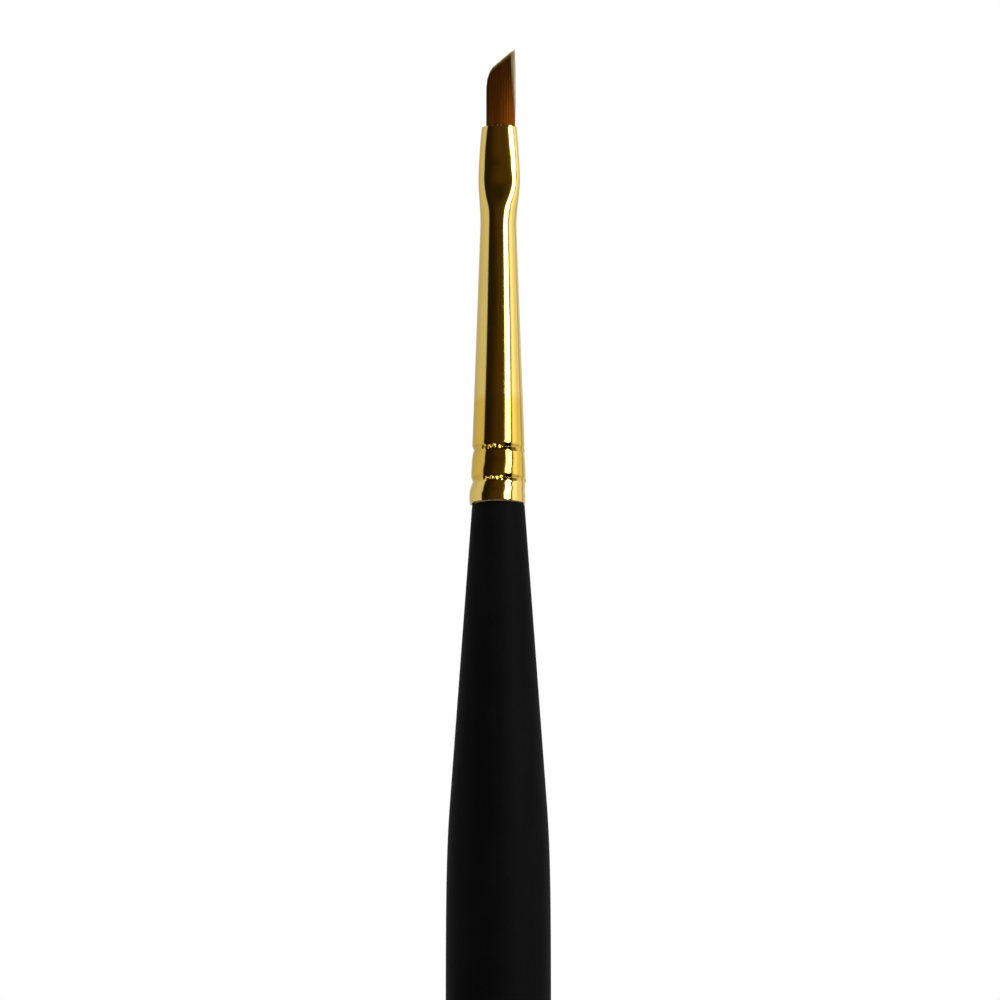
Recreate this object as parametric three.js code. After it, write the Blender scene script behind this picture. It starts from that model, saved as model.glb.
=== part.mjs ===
// A small flat angled artist's brush: a turned and lacquered wooden handle, a brass ferrule that is
// crimped onto it and pressed flat at the mouth, and slant-cut hair set in resin inside the ferrule.
// Millimetres, +Z up along the brush. The origin is the centre of the handle's butt end.
// X runs across the flat of the hair, with the long side of the slant at +X.
import * as THREE from 'three';

// Handle
const HANDLE_LENGTH = 142.35; // butt end to the shoulder that the ferrule stops at
const BUTT_FLAT_RADIUS = 0.9;
const BUTT_RADIUS = 1.65; // where the rounded end turns into the long taper
const BUTT_ROUND_HEIGHT = 1.4;
const BELLY_RADIUS = 3.64; // thickest place
const BELLY_HEIGHT = 105;
const CONE_LENGTH = 21.2; // straight cone between the belly and the shoulder
const CONE_HALF_ANGLE = 4.14; // degrees
const SHOULDER_STEP = 0.135; // the ferrule's back edge stands this far proud of the shoulder
const COAT_THICKNESS = 0.12;
// Shape of the long taper and of the bend into the cone, as shares of their own runs
const TAPER_SWELL = 0.5;
const TAPER_SWELL_HEIGHT = 0.36;
const BELLY_RISE_HEIGHT = 0.68;
const BELLY_HOLD = 0.5;
const CONE_BEND = 0.24;

// Ferrule
const FERRULE_LENGTH = 27;
const FERRULE_BACK_RADIUS = 1.985;
const FERRULE_HALF_ANGLE = 2.05; // degrees, of the drawn cone
const FERRULE_WALL = 0.15;
const PRESSED_LENGTH = 6.9; // from the round waist to the mouth
const WIDEST_FROM_MOUTH = 3.8; // where the pressed front is broadest
const WIDEST_HALF_WIDTH = 1.468;
const WIDEST_HALF_THICKNESS = 0.715;
const MOUTH_HALF_WIDTH = 1.235;
const MOUTH_HALF_THICKNESS = 0.7414;
const PRESS_OFFSET = 0.05; // the press set the flat this far towards the hair's long side
const MOUTH_CHAMFER = 0.08;
const MOUTH_CURVE = 1.5; // above 1, the sides turn in faster towards the mouth
const CRIMP_HEIGHTS = [1.6, 3.8]; // above the ferrule's back edge
const CRIMP_DEPTH = 0.1;
const CRIMP_HALF_WIDTH = 0.5;
const BACK_LIP_HEIGHT = 0.55; // the edge turns in below this
const BACK_LIP_TURN_IN = 0.03;

// Hair
const HAIR_SIDE_PLAY = 0.17; // the hair is this much narrower than the ferrule's mouth
const HAIR_FACE_PLAY = 0.07; // and this much thinner
const HAIR_OFFSET = 0.115; // from the middle of the mouth to the middle of the hair
const HAIR_EDGE_THICKNESS = 0.24; // at the slant cut
const HAIR_OUT = 5.75; // ferrule's mouth to the tip of the long side
const SLANT_ANGLE = 41; // degrees, of the cut
const SLANT_CORNER = 0.5; // across, the rounded low corner of the cut
const SLANT_CORNER_DROP = 0.95;
const ROOT_RADIUS = 0.72; // the bound bundle
const ROOT_ROUND_LENGTH = 2.6; // the bound bundle reaches this far below the ferrule's waist

// Inside the ferrule
const GLUE_THICKNESS = 0.08;
const GLUE_END_MARGIN = 0.4; // the glue film stops this far short of each end of the tenon
const THREAD_RADIUS = 0.06;
const THREAD_TURNS = 5;
const THREAD_PITCH = 0.2;
const RESIN_BELOW_ROOT = 2.2;
const AIR_SPACE = 4; // between the resin and the end of the handle's tenon

// Fits
const FIT_GAP = 0.05; // between pieces that touch on the real brush
const MOUTH_GAP = 0.06; // between the ferrule's mouth and the moving hair

// Fineness
const ROUND_STEPS = 32;
const CURVE_STEPS = 6;
const CRIMP_STEPS = 2;
const PRESS_STEPS = 4;
const SLANT_RINGS = 4;
const HEEL_RINGS = 2;
const THREAD_SIDES = 5;
const THREAD_STEPS_PER_TURN = 12;

// Heights that several pieces share
const ferruleBack = HANDLE_LENGTH + FIT_GAP;
const ferruleMouth = ferruleBack + FERRULE_LENGTH;
const waistHeight = ferruleMouth - PRESSED_LENGTH;
const widestHeight = ferruleMouth - WIDEST_FROM_MOUTH;
const rootBottom = waistHeight - ROOT_ROUND_LENGTH;
const resinBottom = rootBottom - RESIN_BELOW_ROOT;
const tenonTop = resinBottom - AIR_SPACE;
const hairTip = ferruleMouth + HAIR_OUT;

// Distances in from the ferrule's outer surface
const boreInset = FERRULE_WALL + FIT_GAP;
const tenonInset = boreInset + GLUE_THICKNESS + FIT_GAP;

const radians = THREE.MathUtils.degToRad;
const lerp = THREE.MathUtils.lerp;
const smoothstep = THREE.MathUtils.smoothstep;

/**
 * A closed body from a column of rings. A ring is an oval, halfWidth along X and halfThickness
 * along Y; the two are equal on a round piece, and both 0 where the skin closes on the axis. The
 * column runs up the outside, and back down the bore to where it began on a tube.
 */
function ringBody(rings) {
  const column = rings.map((ring, index) => new THREE.Vector2(1, index));
  const geometry = new THREE.LatheGeometry(column, ROUND_STEPS);
  const position = geometry.getAttribute('position');
  for (let vertex = 0; vertex < position.count; vertex += 1) {
    const ring = rings[vertex % rings.length];
    const angle = (2 * Math.PI * Math.floor(vertex / rings.length)) / ROUND_STEPS;
    const x = (ring.centre ?? 0) + Math.cos(angle) * ring.halfWidth;
    const y = Math.sin(angle) * ring.halfThickness;
    const z = typeof ring.height === 'function' ? ring.height(x) : ring.height;
    position.setXYZ(vertex, x, y, z);
  }
  geometry.computeVertexNormals();
  return geometry;
}

/** A round ring of the column. */
function roundRing(radius, height) {
  return { halfWidth: radius, halfThickness: radius, height };
}

/** The lacquered handle's outline, from the middle of the butt to the shoulder, as (radius, height). */
function handleOutline() {
  const shoulderRadius = FERRULE_BACK_RADIUS - SHOULDER_STEP;
  const coneSlope = Math.tan(radians(CONE_HALF_ANGLE));
  const coneStart = HANDLE_LENGTH - CONE_LENGTH;
  const coneRadius = shoulderRadius + CONE_LENGTH * coneSlope;
  const bellyRun = coneStart - BELLY_HEIGHT;
  const bendRun = bellyRun * CONE_BEND;
  const outline = new THREE.Path();
  outline.moveTo(BUTT_FLAT_RADIUS, 0);
  outline.quadraticCurveTo(BUTT_RADIUS, 0, BUTT_RADIUS, BUTT_ROUND_HEIGHT);
  outline.bezierCurveTo(
    lerp(BUTT_RADIUS, BELLY_RADIUS, TAPER_SWELL),
    lerp(BUTT_ROUND_HEIGHT, BELLY_HEIGHT, TAPER_SWELL_HEIGHT),
    BELLY_RADIUS, lerp(BUTT_ROUND_HEIGHT, BELLY_HEIGHT, BELLY_RISE_HEIGHT),
    BELLY_RADIUS, BELLY_HEIGHT,
  );
  outline.bezierCurveTo(
    BELLY_RADIUS, BELLY_HEIGHT + bellyRun * BELLY_HOLD,
    coneRadius + bendRun * coneSlope, coneStart - bendRun,
    coneRadius, coneStart,
  );
  outline.lineTo(shoulderRadius, HANDLE_LENGTH);
  return outline.getPoints(CURVE_STEPS);
}

/** The handle's outline moved in by inset, from the axis at the butt to the shoulder, as rings. */
function insetHandleRings(inset) {
  const rings = handleOutline().map((point) =>
    roundRing(point.x - inset, Math.max(point.y, inset)));
  return [roundRing(0, inset), ...rings];
}

/** Radius of the drawn cone that the ferrule is made from, before it is pressed and crimped. */
function coneRadiusAt(height) {
  return FERRULE_BACK_RADIUS - (height - ferruleBack) * Math.tan(radians(FERRULE_HALF_ANGLE));
}

/** Depth of the crimps at a height: each is a smooth groove, one wave deep. */
function crimpDepthAt(height) {
  return CRIMP_HEIGHTS.reduce((depth, crimp) => {
    const across = Math.abs(height - ferruleBack - crimp) / CRIMP_HALF_WIDTH;
    return depth + (across < 1 ? CRIMP_DEPTH * 0.5 * (1 + Math.cos(Math.PI * across)) : 0);
  }, 0);
}

/** Half-width of the ferrule across the flat, at a height in its pressed front. */
function pressedHalfWidth(height) {
  if (height < widestHeight) {
    const share = smoothstep(height, waistHeight, widestHeight);
    return lerp(coneRadiusAt(height), WIDEST_HALF_WIDTH, share);
  }
  const share = (height - widestHeight) / WIDEST_FROM_MOUTH;
  return lerp(WIDEST_HALF_WIDTH, MOUTH_HALF_WIDTH, share ** MOUTH_CURVE);
}

/** Half-thickness of the ferrule through the flat, at a height in its pressed front. */
function pressedHalfThickness(height) {
  if (height < widestHeight) {
    const share = smoothstep(height, waistHeight, widestHeight);
    return lerp(coneRadiusAt(height), WIDEST_HALF_THICKNESS, share);
  }
  const share = (height - widestHeight) / WIDEST_FROM_MOUTH;
  return lerp(WIDEST_HALF_THICKNESS, MOUTH_HALF_THICKNESS, share);
}

/** The ferrule's section at a height, moved in by inset. Pressing makes an oval of the round. */
function ferruleSection(height, inset) {
  const round = coneRadiusAt(height) - crimpDepthAt(height);
  const lipShare = Math.max(1 - (height - ferruleBack) / BACK_LIP_HEIGHT, 0);
  const radius = round - BACK_LIP_TURN_IN * lipShare - inset;
  if (height <= waistHeight) {
    return roundRing(radius, height);
  }
  const halfWidth = pressedHalfWidth(height) - inset;
  const halfThickness = pressedHalfThickness(height) - inset;
  const centre = PRESS_OFFSET * smoothstep(height, waistHeight, widestHeight);
  return { halfWidth, halfThickness, centre, height };
}

/** Heights where the ferrule's shape turns, from one height up to another, both included. */
function ferruleHeights(from, to) {
  const heights = [from, ferruleBack + BACK_LIP_HEIGHT, waistHeight];
  for (const crimp of CRIMP_HEIGHTS) {
    for (let step = -CRIMP_STEPS; step <= CRIMP_STEPS; step += 1) {
      heights.push(ferruleBack + crimp + (CRIMP_HALF_WIDTH * step) / CRIMP_STEPS);
    }
  }
  for (let step = 1; step <= PRESS_STEPS; step += 1) {
    heights.push(lerp(waistHeight, widestHeight, step / PRESS_STEPS));
    heights.push(lerp(widestHeight, ferruleMouth, step / PRESS_STEPS));
  }
  heights.push(to);
  const inside = heights.filter((height) => height >= from && height <= to);
  return [...new Set(inside)].sort((low, high) => low - high);
}

/** Rings that follow the ferrule's surface, moved in by inset, from one height up to another. */
function ferruleRings(from, to, inset) {
  return ferruleHeights(from, to).map((height) => ferruleSection(height, inset));
}

/** Joins an outside and a bore, both listed upwards, into one tube. */
function tubeBody(outside, bore) {
  return ringBody([...outside, ...bore.toReversed(), outside[0]]);
}

/** Closes rings, listed upwards, on the axis at both ends. */
function solidBody(rings) {
  return ringBody([closing(rings[0]), ...rings, closing(rings.at(-1))]);
}

/** The middle of a ring, where a flat end closes on it. */
function closing(ring) {
  return { ...ring, halfWidth: 0, halfThickness: 0 };
}

/** The turned wood: the coat's inside, and a tenon that follows the crimped ferrule's bore. */
function handleCoreGeometry() {
  const tenon = ferruleRings(ferruleBack, tenonTop, tenonInset);
  const rings = [...insetHandleRings(COAT_THICKNESS + FIT_GAP), ...tenon];
  return ringBody([...rings, closing(tenon.at(-1))]);
}

/** The lacquer, a skin open at the shoulder where the tenon leaves it. */
function handleCoatGeometry() {
  const outside = insetHandleRings(0);
  const bore = insetHandleRings(COAT_THICKNESS);
  return ringBody([...outside, ...bore.toReversed()]);
}

/** The ferrule: one drawn tube of even wall, its edge eased at the mouth. */
function ferruleGeometry() {
  const outside = ferruleRings(ferruleBack, ferruleMouth - MOUTH_CHAMFER, 0);
  const mouth = ferruleSection(ferruleMouth, MOUTH_CHAMFER);
  const bore = ferruleRings(ferruleBack, ferruleMouth, FERRULE_WALL);
  return tubeBody([...outside, mouth], bore);
}

/** The glue film in the space between the tenon and the ferrule. */
function tenonGlueGeometry() {
  const bottom = ferruleBack + GLUE_END_MARGIN;
  const top = tenonTop - GLUE_END_MARGIN;
  const outside = ferruleRings(bottom, top, boreInset);
  const bore = ferruleRings(bottom, top, boreInset + GLUE_THICKNESS);
  return tubeBody(outside, bore);
}

/** The root: a round bundle in the resin, which spreads to fill the pressed mouth. */
function hairRootGeometry() {
  const rings = [roundRing(ROOT_RADIUS, rootBottom)];
  for (const height of ferruleHeights(waistHeight, ferruleMouth)) {
    const slot = ferruleSection(height, boreInset);
    const spread = smoothstep(height, waistHeight, widestHeight);
    rings.push({
      halfWidth: lerp(ROOT_RADIUS, slot.halfWidth, spread),
      halfThickness: lerp(ROOT_RADIUS, slot.halfThickness, spread),
      centre: slot.centre,
      height,
    });
  }
  return solidBody(rings);
}

/** The helix that the binding thread follows round the root. */
class BindingHelix extends THREE.Curve {
  getPoint(share, target = new THREE.Vector3()) {
    const angle = 2 * Math.PI * THREAD_TURNS * share;
    const radius = ROOT_RADIUS + FIT_GAP + THREAD_RADIUS;
    const height = rootBottom + THREAD_PITCH * (1 + THREAD_TURNS * share);
    return target.set(radius * Math.cos(angle), radius * Math.sin(angle), height);
  }
}

/** The thread, wound in a few close turns. */
function bindingThreadGeometry() {
  const outline = new THREE.Shape();
  outline.absarc(0, 0, THREAD_RADIUS, 0, 2 * Math.PI);
  return new THREE.ExtrudeGeometry(outline, {
    extrudePath: new BindingHelix(),
    steps: THREAD_TURNS * THREAD_STEPS_PER_TURN,
    curveSegments: THREAD_SIDES,
    bevelEnabled: false,
  });
}

/** The resin fills the ferrule under the root and holds the bound bundle in a stepped pocket. */
function resinPlugGeometry() {
  const pocketBottom = rootBottom - FIT_GAP;
  const pocketTop = rootBottom + THREAD_PITCH * (THREAD_TURNS + 2);
  const threadRoom = ROOT_RADIUS + 2 * (FIT_GAP + THREAD_RADIUS);
  const outside = ferruleRings(resinBottom, waistHeight, boreInset);
  const pocket = [
    roundRing(ROOT_RADIUS + FIT_GAP, waistHeight),
    roundRing(ROOT_RADIUS + FIT_GAP, pocketTop),
    roundRing(threadRoom, pocketTop),
    roundRing(threadRoom, pocketBottom),
  ];
  return ringBody([closing(outside[0]), ...outside, ...pocket, closing(pocket.at(-1))]);
}

/** Height of the slant cut at a place across the hair. Its low corner is rounded off. */
function cutHeightAt(x, centre, halfWidth) {
  const longSide = centre + halfWidth;
  const cornerStart = centre - halfWidth + SLANT_CORNER;
  const into = THREE.MathUtils.clamp((cornerStart - x) / SLANT_CORNER, 0, 1);
  const drop = SLANT_CORNER_DROP * (1 - Math.sqrt(1 - into * into));
  return hairTip - (longSide - x) * Math.tan(radians(SLANT_ANGLE)) - drop;
}

/** The exposed hair: a round heel on the hinge line, thinning to the edge of the slant cut. */
function hairTuftGeometry() {
  const mouth = ferruleSection(ferruleMouth, FERRULE_WALL);
  const centre = mouth.centre + HAIR_OFFSET;
  const halfWidth = mouth.halfWidth - HAIR_SIDE_PLAY / 2;
  const heelRadius = mouth.halfThickness - HAIR_FACE_PLAY / 2;
  const hingeHeight = ferruleMouth + MOUTH_GAP + heelRadius;
  const rings = [];
  for (let step = 1; step <= HEEL_RINGS; step += 1) {
    const angle = (Math.PI / 2) * (step / (HEEL_RINGS + 1));
    const halfThickness = heelRadius * Math.sin(angle);
    const height = hingeHeight - heelRadius * Math.cos(angle);
    rings.push({ halfWidth, halfThickness, centre, height });
  }
  for (let step = 0; step <= SLANT_RINGS; step += 1) {
    const share = step / SLANT_RINGS;
    const taper = Math.cos((Math.PI / 2) * share);
    rings.push({
      halfWidth,
      halfThickness: lerp(HAIR_EDGE_THICKNESS / 2, heelRadius, taper),
      centre,
      height: (x) => lerp(hingeHeight, cutHeightAt(x, centre, halfWidth), share),
    });
  }
  return solidBody(rings);
}

const finishes = {
  birch: { color: 0xc9a878, roughness: 0.7, metalness: 0 },
  blackLacquer: { color: 0x0e0e0f, roughness: 0.55, metalness: 0 },
  goldBrass: { color: 0xe6bf5c, roughness: 0.12, metalness: 1 },
  glue: { color: 0xd8cfa8, roughness: 0.5, metalness: 0 },
  brownHair: { color: 0x5a2f0a, roughness: 0.6, metalness: 0 },
  resin: { color: 0xb98a3a, roughness: 0.2, metalness: 0 },
  thread: { color: 0xe9e4d6, roughness: 0.85, metalness: 0 },
};

/** A named sub-part with its own material. */
function piece(name, geometry, finish) {
  const mesh = new THREE.Mesh(geometry, new THREE.MeshStandardMaterial(finish));
  mesh.name = name;
  return mesh;
}

const brush = new THREE.Group();
brush.name = 'angled_brush';
brush.add(
  piece('handle_core', handleCoreGeometry(), finishes.birch),
  piece('handle_coat', handleCoatGeometry(), finishes.blackLacquer),
  piece('ferrule', ferruleGeometry(), finishes.goldBrass),
  piece('tenon_glue', tenonGlueGeometry(), finishes.glue),
  piece('hair_tuft', hairTuftGeometry(), finishes.brownHair),
  piece('hair_root', hairRootGeometry(), finishes.brownHair),
  piece('binding_thread', bindingThreadGeometry(), finishes.thread),
  piece('resin_plug', resinPlugGeometry(), finishes.resin),
);

export default brush;
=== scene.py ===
"""Looks of a small flat angled artist's brush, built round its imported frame.

The brush stands on its butt end, hair up, with the flat of the hair facing along -Y. The lacquer
coat, the crimped ferrule and the hair are modelled finely here; the wood, glue, thread and resin
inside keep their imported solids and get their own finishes.
"""

import logging
import math
from dataclasses import dataclass, field
from enum import Enum
from typing import Any, Sequence, Union

import bpy
import numpy as np
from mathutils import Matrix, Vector


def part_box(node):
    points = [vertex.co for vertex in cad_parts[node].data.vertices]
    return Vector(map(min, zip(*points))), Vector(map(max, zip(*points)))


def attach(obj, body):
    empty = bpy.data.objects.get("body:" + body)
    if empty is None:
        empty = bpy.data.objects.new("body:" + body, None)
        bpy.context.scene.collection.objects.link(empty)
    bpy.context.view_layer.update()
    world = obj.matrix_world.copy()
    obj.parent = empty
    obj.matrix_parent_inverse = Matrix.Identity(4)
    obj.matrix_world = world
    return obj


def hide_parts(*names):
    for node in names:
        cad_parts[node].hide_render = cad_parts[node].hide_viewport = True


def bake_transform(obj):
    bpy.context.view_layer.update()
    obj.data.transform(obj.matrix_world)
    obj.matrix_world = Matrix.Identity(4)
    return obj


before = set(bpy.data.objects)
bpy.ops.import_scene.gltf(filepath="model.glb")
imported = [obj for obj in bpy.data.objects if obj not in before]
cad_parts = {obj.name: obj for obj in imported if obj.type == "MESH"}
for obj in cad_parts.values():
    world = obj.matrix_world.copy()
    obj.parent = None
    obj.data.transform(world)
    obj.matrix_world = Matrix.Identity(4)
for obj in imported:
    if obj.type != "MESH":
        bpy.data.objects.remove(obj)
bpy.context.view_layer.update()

LOG = logging.getLogger("brush")
MM = 0.001
FULL_TURN = 360.0
HALF_TURN = 180.0

Colour = tuple[float, float, float, float]
Point = tuple[float, float]
Number = Union[float, np.ndarray]


class Body(Enum):
    """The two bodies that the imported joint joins."""

    HANDLE = "handle"
    TUFT = "tuft"


class Slot(Enum):
    """The names of the record's material slots."""

    LACQUER = "black_lacquer"
    GOLD = "gold_ferrule"
    HAIR = "brown_hair"


def smoothstep(value: float, low: float, high: float) -> float:
    """Rise smoothly from 0 at low to 1 at high.

    Args:
        value: where to read the curve.
        low: where it leaves 0.
        high: where it reaches 1.

    Returns:
        The share, from 0 to 1.
    """
    share = min(max((value - low) / (high - low), 0.0), 1.0)
    return share * share * (3.0 - 2.0 * share)


def lerp(start: Number, end: Number, share: Number) -> Number:
    """Go a share of the way from start to end."""
    return start + (end - start) * share


def swell(share: float) -> float:
    """Fall in a cosine curve from 1 at share 0 to 0 at a share of 1 or more, either side."""
    return 0.5 * (1.0 + math.cos(math.pi * min(abs(share), 1.0)))


def wrap(value: float, period: float) -> float:
    """Bring a value within half a period either side of 0."""
    return (value + period / 2.0) % period - period / 2.0


# ---------------------------------------------------------------- shader graphs


class Value:
    """A number socket that takes part in Python expressions, adding Math nodes as it goes."""

    def __init__(self, graph: "Graph", socket: bpy.types.NodeSocket) -> None:
        """Keep the socket and the graph it belongs to."""
        self.graph = graph
        self.socket = socket

    def __add__(self, other: "Operand") -> "Value":
        """Sum."""
        return self.graph.math("ADD", self, other)

    __radd__ = __add__

    def __sub__(self, other: "Operand") -> "Value":
        """Difference."""
        return self.graph.math("SUBTRACT", self, other)

    def __rsub__(self, other: "Operand") -> "Value":
        """Difference from a plain number."""
        return self.graph.math("SUBTRACT", other, self)

    def __mul__(self, other: "Operand") -> "Value":
        """Product."""
        return self.graph.math("MULTIPLY", self, other)

    __rmul__ = __mul__

    def __truediv__(self, other: "Operand") -> "Value":
        """Quotient."""
        return self.graph.math("DIVIDE", self, other)


Operand = Union[Value, float]


@dataclass(frozen=True)
class Pattern:
    """A noise pattern in a finish.

    Its fineness is in features to the metre. Harshness is how strong its fine octaves are.
    """

    fineness: float
    octaves: float = 2.0
    harshness: float = 0.5
    stretch: tuple[float, float, float] | None = None


@dataclass(frozen=True)
class Specks:
    """Rare round specks: cells to the metre, and a speck's radius as a share of a cell."""

    fineness: float
    size: float
    core: float = 0.4


@dataclass(frozen=True)
class Relief:
    """Fine relief: its full height in metres, and how much of it shows."""

    height: float
    strength: float


class Graph:
    """A material's node tree, built from Python expressions."""

    def __init__(self, name: str) -> None:
        """Start an empty material.

        Args:
            name: the material's name.
        """
        self.material = bpy.data.materials.new(name)
        self.material.use_nodes = True
        self.tree = self.material.node_tree
        self.tree.nodes.clear()

    def node(self, kind: str, settings: dict[str, Any] | None = None,
             inputs: dict[Any, Any] | None = None) -> bpy.types.Node:
        """Add a node.

        Args:
            kind: the node's type.
            settings: its properties, set first; "stops" fills a colour ramp.
            inputs: a value, Value or socket for each input, by name or index.

        Returns:
            The new node.
        """
        made = self.tree.nodes.new(kind)
        for key, setting in (settings or {}).items():
            if key == "stops":
                self._fill_ramp(made.color_ramp, setting)
            else:
                setattr(made, key, setting)
        for key, given in (inputs or {}).items():
            self._feed(made.inputs[key], given)
        return made

    def _feed(self, socket: bpy.types.NodeSocket, given: Any) -> None:
        """Link a Value or socket to an input, or set the input to a constant.

        Args:
            socket: the input.
            given: what it gets.
        """
        if isinstance(given, Value):
            given = given.socket
        if isinstance(given, bpy.types.NodeSocket):
            self.tree.links.new(given, socket)
        else:
            socket.default_value = given

    @staticmethod
    def _fill_ramp(ramp: bpy.types.ColorRamp, stops: Sequence[tuple[float, Colour]]) -> None:
        """Set a colour ramp's stops.

        Args:
            ramp: the ramp.
            stops: each stop's position and colour, in rising order.
        """
        while len(ramp.elements) > 1:
            ramp.elements.remove(ramp.elements[-1])
        ramp.elements[0].position, ramp.elements[0].color = stops[0]
        for position, colour in stops[1:]:
            ramp.elements.new(position).color = colour

    def math(self, operation: str, *operands: Operand) -> Value:
        """Add a Math node.

        Args:
            operation: the node's operation.
            operands: its one to three inputs.

        Returns:
            The result.
        """
        made = self.node("ShaderNodeMath", {"operation": operation}, dict(enumerate(operands)))
        return Value(self, made.outputs[0])

    def place(self) -> bpy.types.NodeSocket:
        """Object coordinates, in metres."""
        return self.node("ShaderNodeTexCoord").outputs["Object"]

    def axes(self, vector: bpy.types.NodeSocket) -> tuple[Value, Value, Value]:
        """A vector's X, Y and Z."""
        split = self.node("ShaderNodeSeparateXYZ", inputs={0: vector})
        return tuple(Value(self, out) for out in split.outputs)

    def noise(self, vector: bpy.types.NodeSocket, pattern: Pattern) -> Value:
        """Read a noise pattern, from 0 to 1, about 0.5.

        Args:
            vector: where the noise is read.
            pattern: the pattern.

        Returns:
            The noise value.
        """
        if pattern.stretch is not None:
            vector = self.node("ShaderNodeVectorMath", {"operation": "MULTIPLY"},
                               {0: vector, 1: pattern.stretch}).outputs[0]
        made = self.node("ShaderNodeTexNoise", inputs={
            "Vector": vector, "Scale": pattern.fineness, "Detail": pattern.octaves,
            "Roughness": pattern.harshness})
        return Value(self, made.outputs["Fac"])

    def specks(self, vector: bpy.types.NodeSocket, specks: Specks) -> Value:
        """Scatter specks: 1 in the middle of each, 0 elsewhere.

        Args:
            vector: where they are read.
            specks: their size and number.

        Returns:
            The speck mask.
        """
        made = self.node("ShaderNodeTexVoronoi",
                         inputs={"Vector": vector, "Scale": specks.fineness})
        return self.fade(Value(self, made.outputs["Distance"]), specks.size,
                         specks.size * specks.core)

    def fade(self, value: Operand, low: float, high: float) -> Value:
        """Make a smooth mask, which rises or falls along a value.

        Args:
            value: what the mask follows.
            low: where it is 0.
            high: where it is 1, above or below low.

        Returns:
            The mask.
        """
        made = self.node("ShaderNodeMapRange", {"interpolation_type": "SMOOTHSTEP"}, {
            "Value": value, "From Min": low, "From Max": high})
        return Value(self, made.outputs["Result"])

    def step(self, value: Operand, middle: float, ease: float) -> Value:
        """A smooth mask that turns from 0 to 1 within an ease either side of a middle."""
        return self.fade(value, middle - ease, middle + ease)

    def ramp(self, share: Operand, stops: Sequence[tuple[float, Colour]]) -> bpy.types.NodeSocket:
        """The colour that a ramp of (position, colour) stops has at a share."""
        return self.node("ShaderNodeValToRGB", {"stops": stops}, {"Fac": share}).outputs[0]

    def mix(self, share: Operand, first: Any, second: Any) -> bpy.types.NodeSocket:
        """Mix two colours.

        Args:
            share: how much of the second.
            first: a colour or socket.
            second: a colour or socket.

        Returns:
            The mixed colour's socket.
        """
        made = self.node("ShaderNodeMix", {"data_type": "RGBA"}, {0: share, 6: first, 7: second})
        return made.outputs[2]

    def bump(self, height: Value, relief: Relief,
             under: bpy.types.NodeSocket | None = None) -> bpy.types.NodeSocket:
        """Bump the surface's normal.

        Args:
            height: the relief's shape, from 0 to 1.
            relief: how high it is and how much of it shows.
            under: a normal that this one is laid over.

        Returns:
            The normal's socket.
        """
        inputs = {"Height": height, "Distance": relief.height, "Strength": relief.strength}
        if under is not None:
            inputs["Normal"] = under
        return self.node("ShaderNodeBump", inputs=inputs).outputs[0]

    def attribute(self, name: str) -> Value:
        """A number stored on the mesh's points."""
        made = self.node("ShaderNodeAttribute", {"attribute_name": name})
        return Value(self, made.outputs["Fac"])

    def close(self, shader: bpy.types.Node) -> bpy.types.Material:
        """Join a shader to the output and hand the material over."""
        self.node("ShaderNodeOutputMaterial", inputs={"Surface": shader.outputs[0]})
        return self.material

    def principled(self, **inputs: Any) -> bpy.types.Material:
        """Close the graph with a Principled shader; _ in a name stands for a space."""
        named = {key.replace("_", " "): value for key, value in inputs.items()}
        return self.close(self.node("ShaderNodeBsdfPrincipled", inputs=named))


# ---------------------------------------------------------------- finishes


@dataclass(frozen=True)
class PolishedGold:
    """Gold-coloured brass, drawn and polished, with faint drawing lines and handling marks.

    A warmer, deeper gold lies over the crimped end, between two heights given in metres.
    """

    warm_band_from: float
    warm_band_to: float
    warm_band_start_ease: float = 0.2 * MM
    warm_band_end_ease: float = 0.45 * MM
    bright: Colour = (0.93, 0.685, 0.2, 1.0)
    warm: Colour = (0.90, 0.645, 0.165, 1.0)
    warm_band_gold: Colour = (0.85, 0.565, 0.088, 1.0)
    gloss: float = 0.045
    smear: float = 0.05
    drawn_rough: float = 0.02
    marks: tuple[float, float] = (0.48, 0.72)
    drawn_lines: Pattern = Pattern(26000.0, 3.0, 0.6, (1.0, 1.0, 0.02))
    clouds: Pattern = Pattern(900.0, 4.0, 0.6)
    grain: Pattern = Pattern(9000.0, 3.0)
    grain_relief: Relief = Relief(0.12e-6, 0.5)
    drawn_relief: Relief = Relief(0.05e-6, 0.6)

    def material(self) -> bpy.types.Material:
        """Build the finish.

        Returns:
            Its material.
        """
        graph = Graph("polished_gold")
        place = graph.place()
        height = graph.axes(place)[2]
        in_warm_band = graph.step(height, self.warm_band_from, self.warm_band_start_ease) \
            * graph.step(height, self.warm_band_to, -self.warm_band_end_ease)
        drawn = graph.noise(place, self.drawn_lines)
        cloudy = graph.noise(place, self.clouds)
        marks = graph.fade(cloudy, *self.marks)
        grain = graph.noise(place, self.grain)
        return graph.principled(
            Base_Color=graph.mix(in_warm_band, graph.mix(cloudy, self.bright, self.warm), self.warm_band_gold),
            Metallic=1.0,
            Roughness=self.gloss + marks * self.smear + drawn * self.drawn_rough,
            Normal=graph.bump(grain, self.grain_relief, graph.bump(drawn, self.drawn_relief)),
        )


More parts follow.
